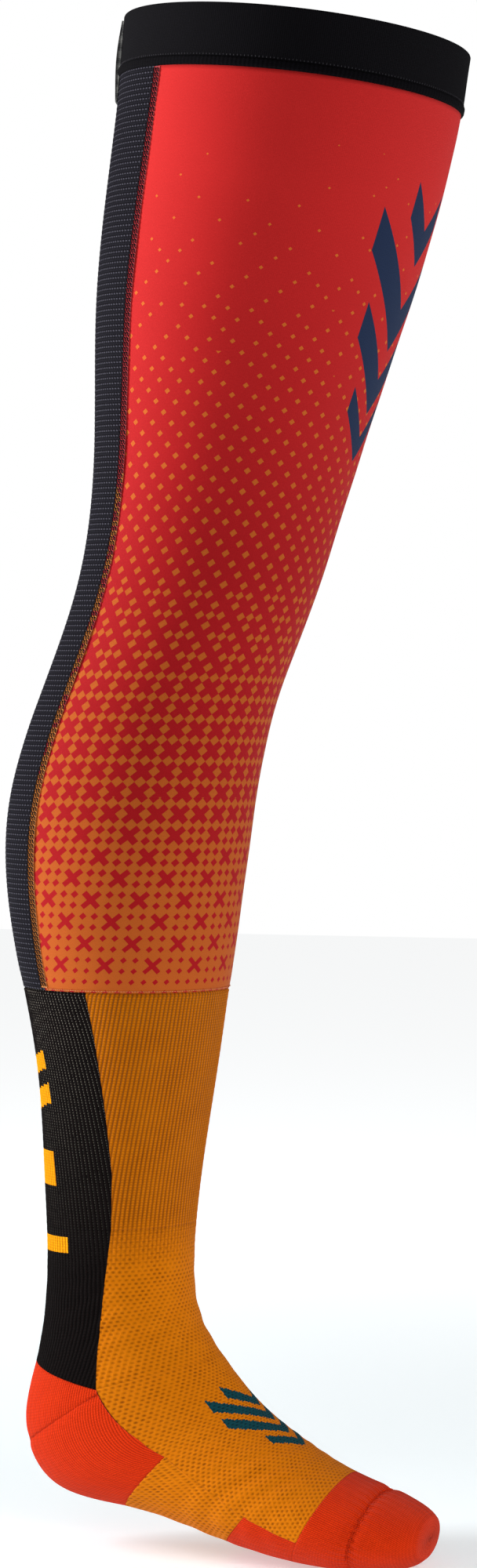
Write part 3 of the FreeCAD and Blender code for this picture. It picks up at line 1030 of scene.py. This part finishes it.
def leg_zone(name, rows, centre, material, relief, down_mm=1.1, end_bulge=None, gore_row=None):
    """A zone of the sock from rows of (edge level, half angle, middle level), in mm."""
    level_, angle_ = window(rows, centre, down_mm, 0.6)
    across = (angle_ - centre) * girth_scale(level_) / MM
    tuck = -HEM_TUCK * np.clip(1 - (level_ - HEM) / (1.5 * MM), 0, 1)
    lift_ = relief(level_, across) + tuck + creases(level_, angle_)
    if gore_row is not None:
        from_gore = np.abs(np.arange(len(level_)) - gore_row % len(level_))[:, None] * down_mm
        lift_ = lift_ - GORE_GROOVE * np.exp(-(from_gore / 2.2) ** 2)
    return cloth(name, level_, angle_, lift_, KNIT_THICK, material, across, end_bulge=end_bulge)


def rib_relief(level_, across):
    """The upright rib of the leg."""
    return wales(level_, across, 0.45)


def ankle_relief(level_, across):
    """Rib that turns into open mesh towards the ankle."""
    share = np.clip((level_ / MM - MESH_START) / (MESH_END - MESH_START), 0, 1)
    return wales(level_, across, 0.45) * (1 - share) + honeycomb(level_, across, 0.5) * share


def plain_relief(level_, across):
    """Fine, nearly flat knit."""
    return wales(level_, across, 0.18, 1.9, 1.3)


def square(*rows):
    """Rows of (edge level, half angle, middle level) whose level is the same all the way across."""
    return [(level_, half, level_) for level_, half in rows]


def bending_zone(name, slot, rows, centre, material, relief, gore_row=None):
    """A zone that lies across the ankle and stands for the CAD node of its own name, which is hidden."""
    zone = leg_zone(name, rows, centre, material, relief, gore_row=gore_row)
    over_ankle(zone, slot, name)


# %% The sock's leg and its cuff inside the sleeve
STRIPE = [(LEG_TOP, 87), (586.3, 93), (642.4, 101), (LEG_END, 101)]
FRONT = [(level_, 180 - half) for level_, half in STRIPE]
bending_zone("leg_back_knit", "black_knit", square(*STRIPE), 180, BLACK_KNIT, rib_relief)
bending_zone("leg_front_knit", "orange_knit", square(*FRONT), 0, ORANGE_KNIT, ankle_relief)
cuff = band_piece("sock_cuff", rounded(508.5, 538.0, -1.4, 0.5, 20), 1.2, BLACK_KNIT, 240)
on_body(cuff, "shin", "black_knit", "sock_cuff")
print("leg of the sock made")

# %% Ankle, heel and foot zones
bending_zone("achilles_knit", "black_knit", [(LEG_END, 101, LEG_END), (ANKLE_TOP, 96, 700.9),
                                             (ANKLE_LINE, 90, 722.9), (HEEL_CORNER, 88, 742.9)],
             180, BLACK_KNIT, rib_relief)
bending_zone("ankle_mesh_knit", "orange_knit", square((LEG_END, 79), (ANKLE_TOP, 84), (ANKLE_LINE, 90),
                                                      (HEEL_CORNER, 92)), 0, ORANGE_KNIT, ankle_relief)
bending_zone("heel_upper_knit", "red_knit", [(764.6, 88, 742.9), (765.6, 88, 762.5),
                                             (GORE_EDGE, 88, GORE)], 180, RED_KNIT, plain_relief, -1)
bending_zone("heel_lower_knit", "red_knit", [(GORE_EDGE, 88, GORE), (HEEL_MIDDLE, 98, 806.1),
                                             (HEEL_TOE_EDGE, 99, HEEL_SOLE_EDGE)],
             180, RED_KNIT, plain_relief, 0)
bending_zone("instep_knit", "orange_knit",
             square((HEEL_CORNER, 92), (HEEL_MIDDLE, 82), (HEEL_TOE_EDGE, 81), (BALL_CORNER, 98),
                    (BALL_START, 98), (TOE_BAND_START, 103)), 0, INSTEP_KNIT, ankle_relief)
bending_zone("arch_knit", "orange_knit",
             [(HEEL_TOE_EDGE, 99, HEEL_SOLE_EDGE), (BALL_CORNER, 82, BALL_CORNER),
              (BALL_START, 82, BALL_START)], 180, ORANGE_KNIT, ankle_relief)
bending_zone("ball_patch", "red_knit", square((BALL_START, 82), (TOE_BAND_START, 77)), 180,
             RED_KNIT, plain_relief)
print("foot zones made")

# %% Toe band, toe cap and the seam that links them


def toe_relief(level_, across):
    """Plain knit, drawn in and puckered where the toe seam gathers it, and fuller past it."""
    past = level_ / MM - TOE_SEAM
    drawn_in = -1.5 * np.exp(-(past / 3.2) ** 2)
    pucker = 0.45 * np.cos(across * 2 * math.pi / 5.5) * np.exp(-np.abs(past) / 6)
    fuller = 0.3 * np.clip(past / 9, 0, 1)
    return plain_relief(level_, across) + (drawn_in + pucker + fuller) * MM


toe_band = leg_zone("toe_band", square((TOE_BAND_START, 180), (TOE_SEAM, 180)), 0, RED_KNIT,
                    toe_relief)
on_body(toe_band, "foot", "red_knit", "toe_band")
toe_cap = leg_zone("toe_cap", square((TOE_SEAM, 180), (TOE_END, 180)), 0, RED_KNIT, toe_relief,
                   0.8, end_bulge=2.0 * MM)
on_body(toe_cap, "foot", "red_knit", "toe_cap")
RED_YARN = thread("red linking yarn", "#A82006", "#D8380F")
seam_line = ring_stitches("toe_seam", TOE_SEAM, -1.1, 1.5, 0.45, RED_YARN, True, 118)
on_body(seam_line, "foot", "red_knit", "toe_seam")
print("toe closed")

# %% [markdown]
# ## Folded tab
# A short woven tape is folded over the back of the band and sewn down: grey on the edge, black on
# the face. Its pale grey is partly the tape's own grey and partly painted highlight on the weave's
# crests.

# %% Pull tab
TAB_ANGLE = 198.0
TAB_TOP, TAB_END, TAB_HALF = 3.0, 46.0, 6.2
# The pale grey on the rib crests is partly the tape's own grey and partly painted highlight.
TAPE = woven_elastic("grey and black woven tape", "#3A3A3C", "#B8B6B0", 1.0, 0.2)
level, angle = window(square((TAB_TOP, TAB_HALF), (TAB_END, TAB_HALF)), TAB_ANGLE, 1.0, 1.2)
bulge = np.sin((level / MM - TAB_TOP) / (TAB_END - TAB_TOP) * math.pi)
tab = cloth("pull_loop", level, angle, (1.4 + 1.6 * bulge) * MM, 1.0 * MM, TAPE)
on_body(tab, "thigh", "woven_label", "pull_loop")
print("tab made")

# %% [markdown]
# ## Floor, light and camera
# A pale seamless floor and large soft lamps, as for a catalogue picture. The floor glows by itself,
# less near the foot, so its glow paints a shadow there. The camera stands at the outer front side of
# the leg, at about the height of the knee, with a long lens.

# %% Floor
floor_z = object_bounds()[0][2] - 0.5 * MM
bpy.ops.mesh.primitive_plane_add(size=12, location=(0, 0, floor_z))
floor = bpy.context.object
floor.name = "studio_floor"
floor_material = bpy.data.materials.new("glowing white studio floor with painted shadow")
floor_material.use_nodes = True
floor_shader = floor_material.node_tree.nodes["Principled BSDF"]
# Tinted blue-grey to cancel the red light that the sock bounces onto the floor.
floor_shader.inputs["Base Color"].default_value = linear("#D8E4E8")
floor_shader.inputs["Roughness"].default_value = 0.9
floor_shader.inputs["Emission Color"].default_value = (1, 1, 1, 1)
floor_tree = floor_material.node_tree
# The floor glows, which paints it white, and glows less near the foot, which paints a shadow round it.
place = add(floor_tree, "ShaderNodeNewGeometry").outputs["Position"]
reach = add(floor_tree, "ShaderNodeVectorMath", {0: place}, operation="LENGTH").outputs["Value"]
glow_with_painted_shadow = add(floor_tree, "ShaderNodeMapRange", {0: reach, 1: 0.9, 2: 1.5, 3: 0.42, 4: 0.85}).outputs[0]
floor_tree.links.new(glow_with_painted_shadow, floor_shader.inputs["Emission Strength"])
floor.data.materials.append(floor_material)
print("floor at", floor_z)

# %% Camera
AZIMUTH = 20.0
DISTANCE = 1.9
FRAME_HEIGHT = 0.88
CAMERA_Z = -0.395
MIDDLE_Z = -0.415
SHIFT_ACROSS = 0.0164
target = Vector((-0.050, 0, CAMERA_Z))
turn = math.radians(AZIMUTH)
camera_data = bpy.data.cameras.new("camera")
camera = bpy.data.objects.new("camera", camera_data)
bpy.context.scene.collection.objects.link(camera)
camera.location = target + Vector((math.sin(turn), -math.cos(turn), 0)) * DISTANCE
camera.rotation_euler = (math.pi / 2, 0, turn)
camera_data.sensor_width = 36
camera_data.lens = 36 * DISTANCE / FRAME_HEIGHT
camera_data.shift_x = SHIFT_ACROSS
camera_data.shift_y = (MIDDLE_Z - CAMERA_Z) / FRAME_HEIGHT
bpy.context.scene.camera = camera
print("camera at", camera.location)

# %% Lights
WORLD_FILL = 0.09
WORLD_SEEN = 1.0
LEG_CENTRE = Vector((-0.05, 0, -0.4))
FOOT_CENTRE = Vector((0.02, 0, -0.82))
world = bpy.data.worlds.new("studio")
bpy.context.scene.world = world
world.use_nodes = True
background = world.node_tree.nodes["Background"]
background.inputs[0].default_value = (1, 1, 1, 1)
seen = add(world.node_tree, "ShaderNodeLightPath").outputs["Is Camera Ray"]
fill_light = math_node(world.node_tree, "MULTIPLY_ADD", seen, WORLD_SEEN - WORLD_FILL, WORLD_FILL)
world.node_tree.links.new(fill_light, background.inputs[1])


def soft_lamp(name, azimuth, height, distance, size, power, centre=LEG_CENTRE, spread=180):
    """A large soft lamp that looks at a centre from an azimuth and a height."""
    data = bpy.data.lights.new(name, "AREA")
    data.shape = "RECTANGLE"
    data.size, data.size_y = size
    data.energy = power
    data.spread = math.radians(spread)
    lamp = bpy.data.objects.new(name, data)
    bpy.context.scene.collection.objects.link(lamp)
    a = math.radians(azimuth)
    outward = Vector((math.sin(a), -math.cos(a), 0))
    lamp.location = centre + outward * distance + Vector((0, 0, height))
    lamp.rotation_euler = (centre - lamp.location).to_track_quat("-Z", "Y").to_euler()


soft_lamp("left_box", -72, 0.4, 1.6, (0.4, 1.6), 39)
soft_lamp("right_box", 110, 0.4, 1.6, (0.4, 1.6), 9)
soft_lamp("front_box", 0, 1.2, 2.4, (1.2, 1.2), 7)
soft_lamp("foot_box", 40, 0.35, 0.8, (0.5, 0.3), 0.5, FOOT_CENTRE, 60)
print("lamps set")

# %% [markdown]
# ## Finish
# The view transform is left plain so that dyed colours stay as they were matched.

# %% Finish
bpy.context.scene.view_settings.view_transform = "Standard"
